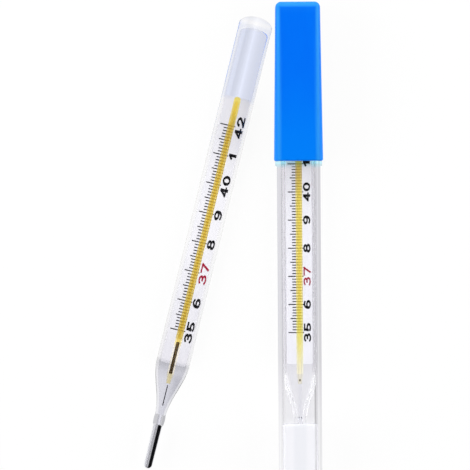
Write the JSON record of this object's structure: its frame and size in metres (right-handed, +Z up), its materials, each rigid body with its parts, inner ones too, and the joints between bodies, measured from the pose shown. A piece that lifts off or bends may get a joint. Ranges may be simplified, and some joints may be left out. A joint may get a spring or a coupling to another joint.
{
  "type": "clinical thermometer",
  "caption": "Mercury-in-glass clinical thermometers with an enclosed scale, a bare one beside one in a clear square tube with a blue push-on cap.",
  "frame": {"origin": "middle of the pair's outline in plan, on the table that it lies on", "axes": "+Y along the cased thermometer from its bulb to its cap, +Z up out of the table towards the scales, +X from the bare thermometer to the cased one"},
  "size_m": [0.0468, 0.126, 0.0108],
  "materials": {
    "clear_glass": "polished",
    "amber_glass": "polished",
    "amber_enamel": "satin",
    "opal_plate": "satin",
    "grey_ink": "matte",
    "mercury": "liquid mirror",
    "clear_plastic": "polished",
    "soft_white": "matte",
    "blue_plastic": "semi-gloss"
  },
  "bodies": {
    "cased_thermometer": {"cased_envelope": "clear_glass", "cased_scale_plate": "opal_plate", "cased_scale_marks": "grey_ink", "cased_capillary": "amber_glass", "cased_capillary_backing": "amber_enamel", "cased_throat_tube": "clear_glass", "cased_weld_collar": "clear_glass", "cased_bulb": "clear_glass", "cased_bulb_mercury": "mercury"},
    "case": {"case_tube": "clear_plastic", "bulb_cushion": "soft_white"},
    "cap": {"cap": "blue_plastic"},
    "bare_thermometer": {"bare_envelope": "clear_glass", "bare_scale_plate": "opal_plate", "bare_scale_marks": "grey_ink", "bare_capillary": "amber_glass", "bare_capillary_backing": "amber_enamel", "bare_throat_tube": "clear_glass", "bare_weld_collar": "clear_glass", "bare_bulb": "clear_glass", "bare_bulb_mercury": "mercury", "bare_mercury_thread": "mercury"},
    "bare_mercury": {"bare_mercury_column": "mercury"},
    "cased_mercury": {"cased_mercury_bead": "mercury"}
  },
  "joints": [
    {"name": "case_draw", "type": "slide", "parent": "cased_thermometer", "child": "case", "axis": [0, -1, 0], "range_m": [0, 0.11]},
    {"name": "cap_pull", "type": "slide", "parent": "cased_thermometer", "child": "cap", "axis": [0, 1, 0], "range_m": [0, 0.05]},
    {"name": "bare_lift", "type": "slide", "parent": "cased_thermometer", "child": "bare_thermometer", "axis": [0, 0, 1], "range_m": [0, 0.06]},
    {"name": "bare_mercury_rise", "type": "slide", "parent": "bare_thermometer", "child": "bare_mercury", "axis": [0.2445, 0.9697, 0], "range_m": [0, 0.0574], "deforming": ["bare_mercury_column"]},
    {"name": "cased_mercury_rise", "type": "slide", "parent": "cased_thermometer", "child": "cased_mercury", "axis": [0, 1, 0], "range_m": [0, 0.0624], "deforming": ["cased_mercury_bead"]}
  ]
}
